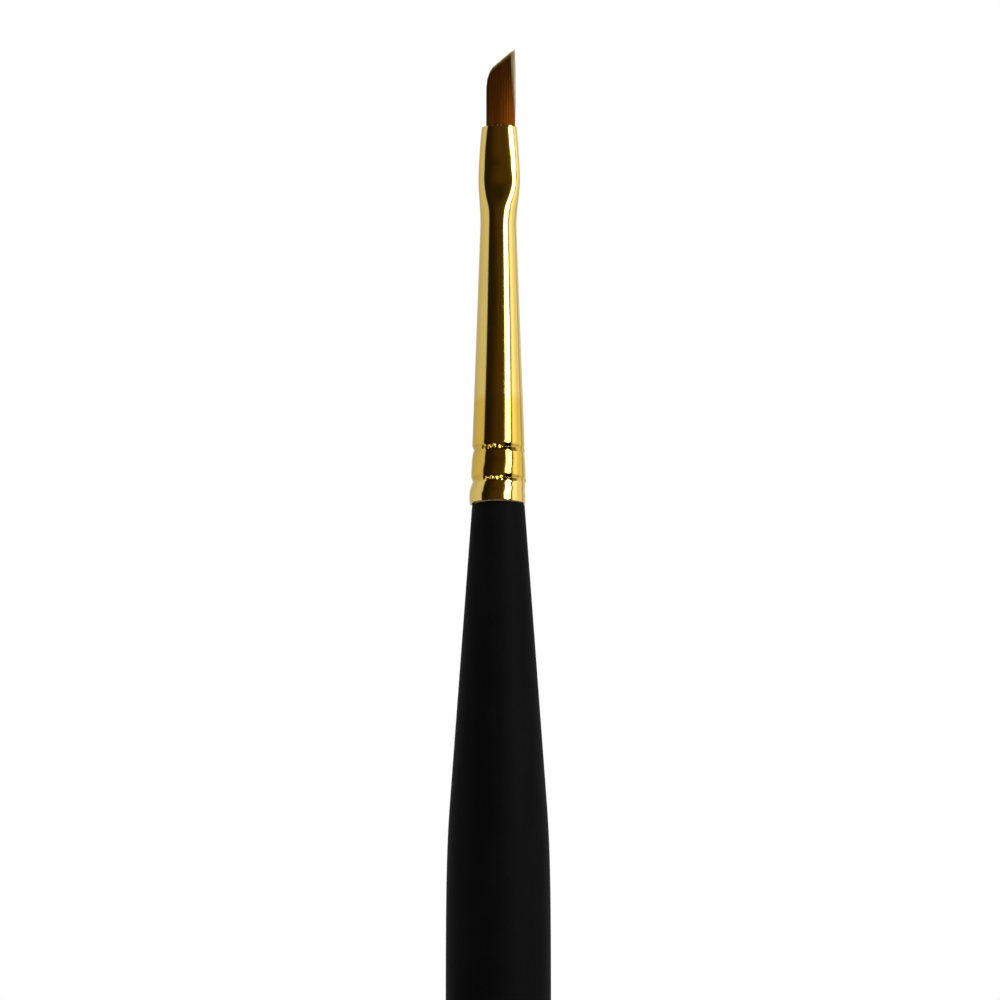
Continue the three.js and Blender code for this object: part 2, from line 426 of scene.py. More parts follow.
@dataclass(frozen=True)
class MatteLacquer:
    """Black dipped lacquer: a fine eggshell surface with a few specks of dust in it."""

    black: Colour = (0.0007, 0.0007, 0.0010, 1.0)
    worn: Colour = (0.0016, 0.0016, 0.0020, 1.0)
    dust_grey: Colour = (0.025, 0.025, 0.025, 1.0)
    dusty: tuple[float, float] = (0.50, 0.56)
    rubbed: tuple[float, float] = (0.35, 0.75)
    rough: float = 0.58
    cloud_rough: float = 0.16
    eggshell_rough: float = 0.06
    sheen: float = 0.05
    clouds: Pattern = Pattern(160.0, 4.0, 0.6)
    eggshell: Pattern = Pattern(5200.0, 3.0, 0.55, (1.0, 1.0, 0.5))
    dust: Specks = Specks(420.0, 0.035)
    eggshell_relief: Relief = Relief(2.2e-6, 0.5)

    def material(self) -> bpy.types.Material:
        """Build the finish.

        Returns:
            Its material.
        """
        graph = Graph("matte_black_lacquer")
        place = graph.place()
        cloudy = graph.noise(place, self.clouds)
        eggshell = graph.noise(place, self.eggshell)
        dust = graph.specks(place, self.dust) * graph.fade(cloudy, *self.dusty)
        lacquer = graph.mix(graph.fade(cloudy, *self.rubbed), self.black, self.worn)
        return graph.principled(
            Base_Color=graph.mix(dust, lacquer, self.dust_grey),
            Roughness=self.rough + (cloudy - 0.5) * self.cloud_rough
            + eggshell * self.eggshell_rough,
            Specular_IOR_Level=self.sheen,
            Normal=graph.bump(eggshell, self.eggshell_relief),
        )


@dataclass(frozen=True)
class BrownHair:
    """Brown brush hair: dark at the short side and olive at the tips; the long side is painted a
    lit orange-brown, a painted light side, with a painted pale highlight along its outer hairs.
    """

    dark: Colour = (0.043, 0.0115, 0.0, 1.0)
    # Painted light: the lit orange-brown painted onto the long side.
    painted_lit_amber: Colour = (0.28, 0.074, 0.001, 1.0)
    tip: Colour = (0.30, 0.225, 0.02, 1.0)
    # Painted highlight: the pale cream glint painted along the long side's outer hairs.
    pale: Colour = (0.52, 0.40, 0.25, 1.0)
    dull: Colour = (0.30, 0.26, 0.2, 1.0)
    # Where the painted light falls: across the hair, up the hair, and how strong it is.
    painted_lit_across: tuple[float, float] = (-0.2 * MM, 1.3 * MM)
    painted_lit_rise: tuple[float, float] = (0.85, -0.15)
    painted_lit_least: float = 0.12
    painted_lit_gain: float = 0.9
    streak_gain: float = 0.3
    tipped_rise: tuple[float, float] = (0.93, 1.0)
    tip_share: float = 0.85
    dull_share: float = 0.45
    rough: float = 0.42
    streak_rough: float = 0.2
    sheen: float = 0.02
    streaks: Pattern = Pattern(7000.0, 2.0, 0.5, (1.0, 1.0, 0.04))
    streak_relief: Relief = Relief(1.0e-6, 0.4)

    def material(self) -> bpy.types.Material:
        """Build the finish; the hairs carry their own tone, rise and edge values, the edge value
        being each point's share of the painted highlight.

        Returns:
            Its material.
        """
        graph = Graph("brown_hair")
        place = graph.place()
        across = graph.axes(place)[0]
        tone, rise, edge = (graph.attribute(name) for name in ("tone", "rise", "edge"))
        streak = graph.noise(place, self.streaks)
        # Painted light: the long side, most of all near the mouth, is painted a lit orange-brown
        # over the dark brown.
        side = graph.fade(across, *self.painted_lit_across)
        lit = side * self.painted_lit_gain + self.painted_lit_least + (streak - 0.5) * self.streak_gain
        body = graph.mix(lit * graph.fade(rise, *self.painted_lit_rise), self.dark, self.painted_lit_amber)
        tipped = graph.mix(graph.fade(rise, *self.tipped_rise) * self.tip_share, body, self.tip)
        # Painted highlight: the long side's outer hairs are painted pale cream, standing in for a
        # lamp's glint.
        highlighted = graph.mix(edge, tipped, self.pale)
        shaded = graph.node("ShaderNodeMix", {"data_type": "RGBA", "blend_type": "MULTIPLY"}, {
            0: self.dull_share - tone * self.dull_share, 6: highlighted, 7: self.dull}).outputs[2]
        return graph.principled(
            Base_Color=shaded,
            Roughness=self.rough + (streak - 0.5) * self.streak_rough,
            Specular_IOR_Level=self.sheen,
            Normal=graph.bump(streak, self.streak_relief),
        )


@dataclass(frozen=True)
class TurnedBirch:
    """Bare turned birch: pale, with fine grain along the handle and faint lathe rings."""

    pale: Colour = (0.68, 0.50, 0.29, 1.0)
    dark: Colour = (0.42, 0.27, 0.13, 1.0)
    dark_fibres: tuple[float, float] = (0.4, 0.7)
    rough: float = 0.62
    fibre_rough: float = 0.2
    fibres: Pattern = Pattern(3200.0, 5.0, 0.6, (1.0, 1.0, 0.05))
    lathe_rings: Pattern = Pattern(2600.0, 2.0, 0.5, (0.02, 0.02, 1.0))
    ring_relief: Relief = Relief(8e-6, 0.4)
    fibre_relief: Relief = Relief(10e-6, 0.5)

    def material(self) -> bpy.types.Material:
        """Build the finish.

        Returns:
            Its material.
        """
        graph = Graph("turned_birch")
        place = graph.place()
        fibres = graph.noise(place, self.fibres)
        rings = graph.noise(place, self.lathe_rings)
        return graph.principled(
            Base_Color=graph.mix(graph.fade(fibres, *self.dark_fibres), self.pale, self.dark),
            Roughness=self.rough + fibres * self.fibre_rough,
            Normal=graph.bump(rings, self.ring_relief, graph.bump(fibres, self.fibre_relief)),
        )


@dataclass(frozen=True)
class SetAdhesive:
    """Glue or resin that has set: even colour with small bubbles and ripples."""

    name: str
    clear: Colour
    cloudy: Colour
    gloss: float
    ripple_rough: float = 0.15
    ripples: Pattern = Pattern(1500.0, 3.0)
    bubbles: Specks = Specks(3500.0, 0.22)
    bubble_relief: Relief = Relief(6e-6, 0.6)
    ripple_relief: Relief = Relief(12e-6, 0.4)

    def material(self) -> bpy.types.Material:
        """Build the finish.

        Returns:
            Its material.
        """
        graph = Graph(self.name)
        place = graph.place()
        ripple = graph.noise(place, self.ripples)
        bubbles = graph.specks(place, self.bubbles)
        return graph.principled(
            Base_Color=graph.mix(ripple, self.clear, self.cloudy),
            Roughness=self.gloss + ripple * self.ripple_rough,
            Normal=graph.bump(bubbles, self.bubble_relief, graph.bump(ripple, self.ripple_relief)),
        )


@dataclass(frozen=True)
class TwistedThread:
    """Off-white twisted thread with its ply showing."""

    light: Colour = (0.78, 0.72, 0.60, 1.0)
    shade: Colour = (0.45, 0.38, 0.28, 1.0)
    lit_ply: tuple[float, float] = (0.35, 0.65)
    rough: float = 0.75
    ply_rough: float = 0.15
    ply: Pattern = Pattern(14000.0, 3.0, 0.6, (1.0, 1.0, 2.5))
    ply_relief: Relief = Relief(12e-6, 0.7)

    def material(self) -> bpy.types.Material:
        """Build the finish.

        Returns:
            Its material.
        """
        graph = Graph("twisted_thread")
        ply = graph.noise(graph.place(), self.ply)
        return graph.principled(
            Base_Color=graph.mix(graph.fade(ply, *self.lit_ply), self.shade, self.light),
            Roughness=self.rough + ply * self.ply_rough,
            Normal=graph.bump(ply, self.ply_relief),
        )


# ---------------------------------------------------------------- the modelling bench


class Bench:
    """Edit-mode work on one new mesh, pulled up ring by ring, as on a lathe."""

    def __init__(self, name: str, radius: float, height: float, segments: int) -> None:
        """Lay down the first ring.

        Args:
            name: the new piece's name.
            radius: the ring's radius, in metres.
            height: its height, in metres.
            segments: vertices round it.
        """
        bpy.ops.object.select_all(action="DESELECT")
        bpy.ops.mesh.primitive_circle_add(vertices=segments, radius=radius,
                                          location=(0.0, 0.0, height))
        self.piece = bpy.context.active_object
        self.piece.name = name
        self.piece.data.name = name
        bpy.ops.object.transform_apply(location=True, rotation=True, scale=True)
        self.radius, self.height = radius, height
        bpy.ops.object.mode_set(mode="EDIT")
        bpy.ops.mesh.select_all(action="SELECT")

    def pull(self, radius: float, height: float) -> None:
        """Extrude the last ring.

        Args:
            radius: the new ring's radius, in metres.
            height: its height, in metres.
        """
        rise = height - self.height
        bpy.ops.mesh.extrude_region_move(TRANSFORM_OT_translate={"value": (0.0, 0.0, rise)})
        growth = radius / self.radius
        bpy.ops.transform.resize(value=(growth, growth, 1.0), center_override=(0.0, 0.0, height))
        self.radius, self.height = radius, height

    def cap(self) -> None:
        """Close the last ring on its middle."""
        bpy.ops.mesh.extrude_region_move()
        bpy.ops.mesh.merge(type="CENTER")

    def plug(self) -> None:
        """Fill every open end with a flat face."""
        bpy.ops.mesh.select_all(action="SELECT")
        bpy.ops.mesh.fill_holes(sides=0)

    def turn(self, outline: Sequence[tuple[float, float]]) -> None:
        """Pull one ring for each (radius, height) of an outline, in metres."""
        for radius, height in outline:
            self.pull(radius, height)

    def done(self) -> bpy.types.Object:
        """Leave edit mode with the faces turned outwards.

        Returns:
            The piece.
        """
        bpy.ops.mesh.select_all(action="SELECT")
        bpy.ops.mesh.normals_make_consistent(inside=False)
        bpy.ops.object.mode_set(mode="OBJECT")
        return self.piece


def pick(piece: bpy.types.Object) -> None:
    """Make a piece the only one that is selected and active.

    Args:
        piece: the mesh object.
    """
    bpy.ops.object.select_all(action="DESELECT")
    piece.select_set(True)
    bpy.context.view_layer.objects.active = piece


def apply_modifier(piece: bpy.types.Object, kind: str, **settings: Any) -> None:
    """Add a modifier to a piece and apply it.

    Args:
        piece: the mesh object.
        kind: the modifier's type.
        settings: its properties.
    """
    pick(piece)
    modifier = piece.modifiers.new(kind.lower(), kind)
    for key, setting in settings.items():
        setattr(modifier, key, setting)
    bpy.ops.object.modifier_apply(modifier=modifier.name)


def smooth(piece: bpy.types.Object, degrees: float) -> None:
    """Shade a piece smooth, but for edges sharper than an angle."""
    pick(piece)
    bpy.ops.object.shade_smooth_by_angle(angle=math.radians(degrees))


def dress(piece: bpy.types.Object, material: bpy.types.Material) -> None:
    """Give a piece one material all over."""
    piece.data.materials.clear()
    piece.data.materials.append(material)


def bezier(ends: Sequence[Point], steps: int) -> list[Point]:
    """Walk a cubic curve.

    Args:
        ends: its end, two handles and other end.
        steps: how many points to give, not counting the first end.

    Returns:
        The points walked.
    """
    walked = []
    for step in range(1, steps + 1):
        there = step / steps
        back = 1.0 - there
        weights = (back ** 3, 3 * back ** 2 * there, 3 * back * there ** 2, there ** 3)
        walked.append(tuple(sum(w * p[axis] for w, p in zip(weights, ends)) for axis in (0, 1)))
    return walked


# ---------------------------------------------------------------- the brush


@dataclass
class Handle:
    """The lacquer coat over the turned handle. Lengths are in millimetres.

    The full values are shares: how far the handles of the outline's curves reach.
    """

    butt_flat: float = 0.9
    butt_radius: float = 1.65
    butt_round: float = 1.4
    butt_full: tuple[float, float] = (0.85, 0.35)
    belly_height: float = 105.0
    taper_full: tuple[float, float] = (0.36, 0.68)
    cone_length: float = 21.2
    cone_half_angle: float = 4.14
    cone_full: float = 0.24
    shoulder_radius: float = 1.85
    shoulder_ease: float = 0.12
    shoulder_bulge: float = 0.03
    coat: float = 0.12
    segments: int = 160
    butt_steps: int = 12
    taper_steps: int = 40
    neck_steps: int = 20
    cone_steps: int = 12
    sharp_edge: float = 40.0
    shoulder_height: float = field(init=False)
    belly_radius: float = field(init=False)

    def __post_init__(self) -> None:
        """Read the height of the shoulder and the belly's radius from the frame."""
        _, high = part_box("handle_coat")
        self.shoulder_height = high.z / MM
        self.belly_radius = high.x / MM

    def butt(self) -> list[Point]:
        """Round the butt, from the edge of its flat to where the taper starts."""
        inner, lower = self.butt_full
        return bezier([(self.butt_flat, 0.0), (self.butt_radius * inner, 0.0),
                       (self.butt_radius, self.butt_round * lower),
                       (self.butt_radius, self.butt_round)], self.butt_steps)

    def taper(self) -> list[Point]:
        """Swell from the butt up to the belly.

        Returns:
            The outline's points there.
        """
        length = self.belly_height - self.butt_round
        lower, upper = self.taper_full
        half_way = lerp(self.butt_radius, self.belly_radius, 0.5)
        return bezier([(self.butt_radius, self.butt_round),
                       (half_way, self.butt_round + lower * length),
                       (self.belly_radius, self.butt_round + upper * length),
                       (self.belly_radius, self.belly_height)], self.taper_steps)

    def neck_and_cone(self) -> list[Point]:
        """Draw in from the belly, then run straight up to the shoulder.

        Returns:
            The outline's points there.
        """
        slope = math.tan(math.radians(self.cone_half_angle))
        start = self.shoulder_height - self.cone_length
        radius = self.shoulder_radius + self.cone_length * slope
        run = start - self.belly_height
        bend = self.cone_full * run
        neck = bezier([(self.belly_radius, self.belly_height),
                       (self.belly_radius, self.belly_height + run / 2),
                       (radius + bend * slope, start - bend), (radius, start)], self.neck_steps)
        top = self.shoulder_height - self.shoulder_ease
        shares = [step / self.cone_steps for step in range(1, self.cone_steps + 1)]
        cone = [(lerp(radius, self.shoulder_radius, share), lerp(start, top, share))
                for share in shares]
        return neck + cone

    def outline(self) -> list[Point]:
        """Join the outline, from the edge of the butt's flat up to the shoulder.

        Returns:
            Its points as (radius, height), in metres.
        """
        shoulder = [(self.shoulder_radius - self.shoulder_bulge,
                     self.shoulder_height - self.shoulder_bulge),
                    (self.shoulder_radius - self.shoulder_ease, self.shoulder_height)]
        points = self.butt() + self.taper() + self.neck_and_cone() + shoulder
        return [(radius * MM, height * MM) for radius, height in points]

    def build(self) -> bpy.types.Object:
        """Turn the coat, open at the shoulder, and give it its thickness.

        Returns:
            The finished coat.
        """
        points = self.outline()
        bench = Bench("lacquer_coat", points[-1][0], points[-1][1], self.segments)
        bench.turn(list(reversed(points))[1:])
        bench.pull(self.butt_flat / 2.0 * MM, 0.0)
        bench.cap()
        coat = bench.done()
        apply_modifier(coat, "SOLIDIFY", thickness=self.coat * MM, offset=-1.0)
        smooth(coat, self.sharp_edge)
        dress(coat, MatteLacquer().material())
        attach(coat, Body.HANDLE.value)
        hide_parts("handle_coat")
        return coat


@dataclass
class Ferrule:
    """The drawn ferrule: crimped twice onto the handle and pressed flat.

    Lengths are in millimetres and angles in degrees. An angle round the tube is measured from the
    right, and the front is at -90.
    """

    back_radius: float = 1.985
    half_angle: float = 2.05
    wall: float = 0.15
    pressed_length: float = 7.5
    widest_from_mouth: float = 3.8
    widest_half_width: float = 1.468
    mouth_half_width: float = 1.235
    mouth_curve: float = 1.5
    press_offset: float = 0.05
    press_turn: float = 3.0
    face_shift: float = 0.11
    oval: float = 2.0
    bite: float = 0.5
    bite_from_mouth: float = 4.45
    bite_reach: float = 1.7
    mouth_bite: float = 0.15
    crimp_heights: tuple[float, float] = (1.6, 3.8)
    crimp_depth: float = 0.055
    crimp_half_width: float = 0.30
    crimp_sharpness: float = 1.3
    crimp_floor: float = 0.003
    hollow_depth: float = 0.035
    hollow_half_width: tuple[float, float] = (1.0, 0.40)
    bead_height: float = 0.095
    bead_reach: float = 0.19
    bead_half_length: float = 0.18
    bead_sizes: tuple[float, float] = (0.6, 1.3)
    bead_stray: float = 0.05
    beads: int = 36
    jaws: int = 3
    jaw_middle: float = -107.0
    jaw_half_angle: float = 28.0
    jaw_ease: float = 7.0
    side_bite: float = 0.05
    side_bite_middle: float = -160.0
    side_bite_reach: float = 48.0
    lip_height: float = 0.55
    lip_turn_in: float = 0.035
    lip_shift: float = -0.07
    lip_shift_ease: tuple[float, float] = (0.9, 1.5)
    # The warmer, deeper gold band runs between these heights above the back.
    warm_band_from_back: tuple[float, float] = (1.45, 7.4)
    lip_rings: int = 8
    crimp_zone: float = 0.7
    crimp_rings: int = 31
    barrel_from: float = 5.0
    barrel_rings: int = 12
    pressed_rings: int = 60
    segments: int = 300
    rim_round: float = 0.025
    rim_rings: int = 3
    rim_edge: float = 70.0
    sharp_edge: float = 50.0
    seed: int = 7
    back: float = field(init=False)
    mouth: float = field(init=False)

    def __post_init__(self) -> None:
        """Read the ferrule's ends from the frame, and draw the beads' irregularity."""
        low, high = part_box("ferrule")
        self.back, self.mouth = low.z / MM, high.z / MM
        self.waist = self.mouth - self.pressed_length
        self.widest = self.mouth - self.widest_from_mouth
        draw = np.random.default_rng(self.seed)
        shape = (len(self.crimp_heights), self.beads)
        self.bead_size = draw.uniform(*self.bead_sizes, shape)
        self.bead_lift = draw.uniform(-self.bead_stray, self.bead_stray, shape)

    def cone_radius(self, height: float) -> float:
        """Radius of the drawn cone at a height, before crimping and pressing."""
        return self.back_radius - (height - self.back) * math.tan(math.radians(self.half_angle))

    def half_width(self, height: float) -> float:
        """Measure the pressed front across.

        Args:
            height: where along it.

        Returns:
            Its half-width there.
        """
        if height < self.widest:
            share = smoothstep(height, self.waist, self.widest)
            return lerp(self.cone_radius(height), self.widest_half_width, share)
        share = (height - self.widest) / self.widest_from_mouth
        return lerp(self.widest_half_width, self.mouth_half_width, share ** self.mouth_curve)

    def half_thickness(self, height: float) -> float:
        """Measure the pressed front from face to face, from the girth that pressing keeps.

        Args:
            height: where along it.

        Returns:
            Its half-thickness there.
        """
        cone, half_width = self.cone_radius(height), self.half_width(height)
        plain = 2.0 * cone - half_width
        return (plain + math.sqrt(2.0 * cone ** 2 - half_width ** 2)) / 2.0

    def squareness(self, height: float) -> float:
        """Say how square the pressed section is.

        Args:
            height: where along the front.

        Returns:
            The power of the section's curve, which is 2 for an oval and more for a squarer one.
        """
        away = (height - self.mouth + self.bite_from_mouth) / self.bite_reach
        near_mouth = smoothstep(height, self.widest, self.mouth)
        return self.oval + self.bite * max(1.0 - away ** 2, 0.0) ** 2 + self.mouth_bite * near_mouth

    def heights(self) -> list[float]:
        """List the rings' heights, close together where the shape turns.

        Returns:
            The heights, rising.
        """
        found = set(np.linspace(self.back, self.back + self.lip_height, self.lip_rings))
        for crimp in self.crimp_heights:
            middle = self.back + crimp
            found |= set(np.linspace(middle - self.crimp_zone, middle + self.crimp_zone,
                                     self.crimp_rings))
            found |= {middle - self.crimp_floor, middle + self.crimp_floor}
        found |= set(np.linspace(self.back + self.barrel_from, self.waist, self.barrel_rings))
        found |= set(np.linspace(self.waist, self.mouth, self.pressed_rings))
        return sorted(found)

    def jaw_grip(self, degrees: float) -> float:
        """Say how firmly one of the crimping jaws gripped at an angle round the tube.

        Args:
            degrees: the angle.

        Returns:
            The grip, from 0 to 1.
        """
        off_jaw = abs(wrap(degrees - self.jaw_middle, FULL_TURN / self.jaws))
        return 1.0 - smoothstep(off_jaw, self.jaw_half_angle - self.jaw_ease, self.jaw_half_angle)

    def bead(self, row: int, turns: float, across: float, radius: float) -> float:
        """Measure the bead that stands in a crimp, between two teeth of the crimping tool.

        Args:
            row: which crimp.
            turns: the place round the tube, in turns.
            across: the height above the crimp's middle.
            radius: the tube's radius.

        Returns:
            The bead's height at that place, under a full grip.
        """
        place = (turns + 0.5 * row / self.beads) % 1.0 * self.beads
        bead = int(place) % self.beads
        pitch = math.tau * radius / self.beads
        beside = (place - bead - 0.5) * pitch / self.bead_half_length
        along = (across - self.bead_lift[row, bead]) / self.bead_reach
        rest = max(1.0 - beside ** 2 - along ** 2, 0.0)
        return self.bead_height * self.bead_size[row, bead] * rest ** 2

    def crimp_depth_at(self, angle: float, height: float) -> float:
        """Say how deep the crimps press in at a place on the tube.

        Args:
            angle: round the tube, in radians.
            height: along it.

        Returns:
            The depth.
        """
        degrees = math.degrees(angle)
        grip = self.jaw_grip(degrees)
        off_side = wrap(degrees - self.side_bite_middle, FULL_TURN)
        hollow_depth = self.hollow_depth + self.side_bite * swell(off_side / self.side_bite_reach)
        radius = self.cone_radius(height)
        depth = 0.0
        for row, crimp in enumerate(self.crimp_heights):
            across = height - self.back - crimp
            groove = 1.0 - min(abs(across) / self.crimp_half_width, 1.0)
            depth += self.crimp_depth * groove ** self.crimp_sharpness
            depth += hollow_depth * swell(across / self.hollow_half_width[int(across > 0.0)])
            depth -= self.bead(row, angle / math.tau, across, radius) * grip
        return depth

    def press(self, angle: float, height: float) -> Point:
        """Press a point of the front flat.

        Args:
            angle: round the tube, in radians.
            height: along it.

        Returns:
            Where the point goes across and in depth.
        """
        pressed = smoothstep(height, self.waist, self.widest)
        turn = -math.radians(self.press_turn) * pressed
        power = 2.0 / self.squareness(height)
        side, face = math.cos(angle), math.sin(angle)
        across = self.half_width(height) * math.copysign(abs(side) ** power, side)
        deep = self.half_thickness(height) * math.copysign(abs(face) ** power, face)
        across += self.face_shift * pressed * abs(face)
        return (across * math.cos(turn) - deep * math.sin(turn) + self.press_offset * pressed,
                across * math.sin(turn) + deep * math.cos(turn))

    def crimp(self, angle: float, height: float) -> Point:
        """Roll the crimps and the lip into a point of the barrel.

        Args:
            angle: round the tube, in radians.
            height: along it.

        Returns:
            Where the point goes across and in depth.
        """
        radius = self.cone_radius(height) - self.crimp_depth_at(angle, height)
        above_back = height - self.back
        radius -= self.lip_turn_in * max(1.0 - above_back / self.lip_height, 0.0) ** 2
        shift = self.lip_shift * (1.0 - smoothstep(above_back, *self.lip_shift_ease))
        return radius * math.cos(angle) + shift, radius * math.sin(angle)

    def shape(self, tube: bpy.types.Object) -> None:
        """Press the front flat and roll the crimps in, vertex by vertex.

        Args:
            tube: the drawn tube.
        """
        for vertex in tube.data.vertices:
            x, y, height = (part / MM for part in vertex.co)
            angle = math.atan2(y, x) % math.tau
            form = self.press if height > self.waist else self.crimp
            vertex.co = Vector((*form(angle, height), height)) * MM

    def build(self) -> bpy.types.Object:
        """Draw the tube, shape it, and give it its wall and eased rims.

        Returns:
            The finished ferrule.
        """
        outline = [(self.cone_radius(height) * MM, height * MM) for height in self.heights()]
        bench = Bench("gold_ferrule", *outline[0], self.segments)
        bench.turn(outline[1:])
        tube = bench.done()
        self.shape(tube)
        apply_modifier(tube, "SOLIDIFY", thickness=self.wall * MM, offset=-1.0)
        apply_modifier(tube, "BEVEL", width=self.rim_round * MM, segments=self.rim_rings,
                       limit_method="ANGLE", angle_limit=math.radians(self.rim_edge))
        smooth(tube, self.sharp_edge)
        warm_band_from, warm_band_to = ((self.back + above) * MM for above in self.warm_band_from_back)
        dress(tube, PolishedGold(warm_band_from, warm_band_to).material())
        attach(tube, Body.HANDLE.value)
        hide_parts("ferrule")
        return tube


@dataclass
class HairBundle:
    """Every hair from the bound root to the slant cut. Lengths are in millimetres."""

    root_radius: float = 0.70
    root_depth: float = 9.5
    waist_depth: float = 6.9
    spread_depth: float = 3.8
    edge_half_thickness: float = 0.11
    slant_angle: float = 41.0
    corner: float = 0.5
    corner_drop: float = 0.95
    spacing: float = 0.052
    row_share: float = 0.866
    columns: int = 60
    shake: float = 0.012
    tip_stray: float = 0.012
    sway: float = 0.012
    hair_radius: float = 0.03
    thinning: float = 0.25
    sides: int = 5
    rings: int = 10
    point: tuple[Point, ...] = ((0.5, 0.97), (0.05, 1.0))
    held_share: float = 0.4
    side_bow: float = 0.05
    # Painted highlight: how wide and how strong the pale glint painted along the long side is.
    painted_highlight_width: float = 0.26
    painted_highlight_full: float = 1.3
    painted_highlight_least: float = 0.15
    painted_highlight_rise: tuple[float, float] = (0.1, 0.5)
    bend_length: float = 3.4
    sharp_edge: float = 80.0
    seed: int = 11

    def __post_init__(self) -> None:
        """Read the bundle's box and the mouth's height from the frame."""
        low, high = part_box("hair_tuft")
        self.left, self.right, self.tip = low.x / MM, high.x / MM, high.z / MM
        self.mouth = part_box("ferrule")[1].z / MM
        self.centre = (self.left + self.right) / 2.0
        self.half_size = np.array([(self.right - self.left) / 2.0, high.y / MM])

    def cut_height(self, across: np.ndarray) -> np.ndarray:
        """Find the slant cut, whose low corner is rounded off.

        Args:
            across: places across the hair.

        Returns:
            The cut's height at each.
        """
        line = self.tip - (self.right - across) * math.tan(math.radians(self.slant_angle))
        into = np.clip((self.left + self.corner - across) / self.corner, 0.0, 1.0)
        return line - self.corner_drop * (1.0 - np.sqrt(1.0 - into ** 2))

    def layout(self) -> np.ndarray:
        """Place the hairs in the mouth: a close-packed, slightly shaken pattern in its slot.

        Returns:
            Each hair's place across and in depth, from the bundle's middle.
        """
        draw = np.random.default_rng(self.seed)
        pitch = self.spacing * self.row_share
        rows = int(2 * self.half_size[1] / pitch) + 2
        spots = np.array([((column + 0.5 * (row % 2)) * self.spacing, row * pitch)
                          for row in range(-rows, rows + 1)
                          for column in range(-self.columns, self.columns + 1)])
        spots += draw.uniform(-self.shake, self.shake, spots.shape)
        return spots[np.hypot(*(spots / self.half_size).T) < 1.0]

    def model_hair(self) -> tuple[np.ndarray, list[tuple[int, ...]]]:
        """Model one hair as a thin pointed rod of unit length and radius.

        Returns:
            Its points, and its faces.
        """
        bench = Bench("one_hair", 1.0, 0.0, self.sides)
        for ring in range(1, self.rings):
            bench.pull(1.0, ring / self.rings)
        bench.turn(self.point)
        bench.plug()
        hair = bench.done()
        points = np.array([vertex.co for vertex in hair.data.vertices])
        faces = [tuple(face.vertices) for face in hair.data.polygons]
        bpy.data.objects.remove(hair)
        return points, faces

    def painted_highlight(self, beside: float, out: np.ndarray) -> np.ndarray:
        """Say how much of the painted highlight, a pale band along the long side, a hair takes.

        Args:
            beside: the hair's distance from the outermost hairs.
            out: shares of its way from the mouth to its tip.

        Returns:
            The share of the painted highlight's colour at each.
        """
        reach = self.painted_highlight_width * lerp(self.painted_highlight_least, 1.0, out)
        start, full = self.painted_highlight_rise
        return np.clip(self.painted_highlight_full - beside / reach, 0.0, 1.0) \
            * np.clip((out - start) / (full - start), 0.0, 1.0)

    def lay(self, hair: np.ndarray, spot: np.ndarray, tip: float,
            sway: np.ndarray) -> dict[str, np.ndarray]:
        """Lay one hair from the root, out through the mouth and up to its tip.

        Args:
            hair: the modelled hair's points.
            spot: its place in the mouth.
            tip: its tip's height.
            sway: how far its tip strays across and in depth.

        Returns:
            Its points, how far out each is, and its share of the painted highlight.
        """
        height = np.interp(hair[:, 2], (0.0, self.held_share, 1.0),
                           (self.mouth - self.root_depth, self.mouth, tip))
        spread = np.clip((height - self.mouth + self.waist_depth)
                         / (self.waist_depth - self.spread_depth), 0.0, 1.0)
        spread = spread * spread * (3.0 - 2.0 * spread)
        out = np.clip((height - self.mouth) / (tip - self.mouth), 0.0, 1.0)
        root = spot * self.root_radius / self.half_size
        x = self.centre * spread + lerp(root[0], spot[0], spread) + sway[0] * out
        x += self.side_bow * max(spot[0] / self.half_size[0], 0.0) ** 2 * np.sin(math.pi * out)
        thin = lerp(self.edge_half_thickness / self.half_size[1], 1.0, np.cos(out * math.pi / 2.0))
        y = lerp(root[1], spot[1], spread) * thin + sway[1] * out
        width = self.hair_radius * (1.0 - self.thinning * out)
        beside = self.right - self.hair_radius - self.centre - spot[0]
        placed = np.stack([x + hair[:, 0] * width, y + hair[:, 1] * width, height], axis=1)
        # The edge value is each point's share of the painted highlight.
        return {"placed": placed, "rise": out, "edge": self.painted_highlight(beside, out)}

    def build(self) -> bpy.types.Object:
        """Lay every hair in the bundle and make one piece of them.

        Returns:
            The bundle.
        """
        hair, faces = self.model_hair()
        spots = self.layout()
        draw = np.random.default_rng(self.seed + 1)
        tips = self.cut_height(spots[:, 0] + self.centre)
        tips -= draw.exponential(self.tip_stray, len(spots))
        tones = draw.uniform(0.0, 1.0, len(spots))
        sways = draw.normal(0.0, self.sway, spots.shape)
        laid = [self.lay(hair, *one) for one in zip(spots, tips, sways)]
        points = np.concatenate([one["placed"] for one in laid]) * MM
        corners = [tuple(corner + index * len(hair) for corner in face)
                   for index in range(len(spots)) for face in faces]
        mesh = bpy.data.meshes.new("hair_bundle")
        mesh.from_pydata(points.tolist(), [], corners)
        looks = {name: np.concatenate([one[name] for one in laid]) for name in ("rise", "edge")}
        looks["tone"] = np.repeat(tones, len(hair))
        for name, values in looks.items():
            stored = mesh.attributes.new(name, "FLOAT", "POINT")
            stored.data.foreach_set("value", values.astype(np.float32))
        bundle = bpy.data.objects.new("hair_bundle", mesh)
        bpy.context.scene.collection.objects.link(bundle)
        smooth(bundle, self.sharp_edge)
        dress(bundle, BrownHair().material())
        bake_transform(bundle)
        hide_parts("hair_tuft", "hair_root")
        LOG.info("hair_bundle: %d hairs", len(spots))
        return bundle


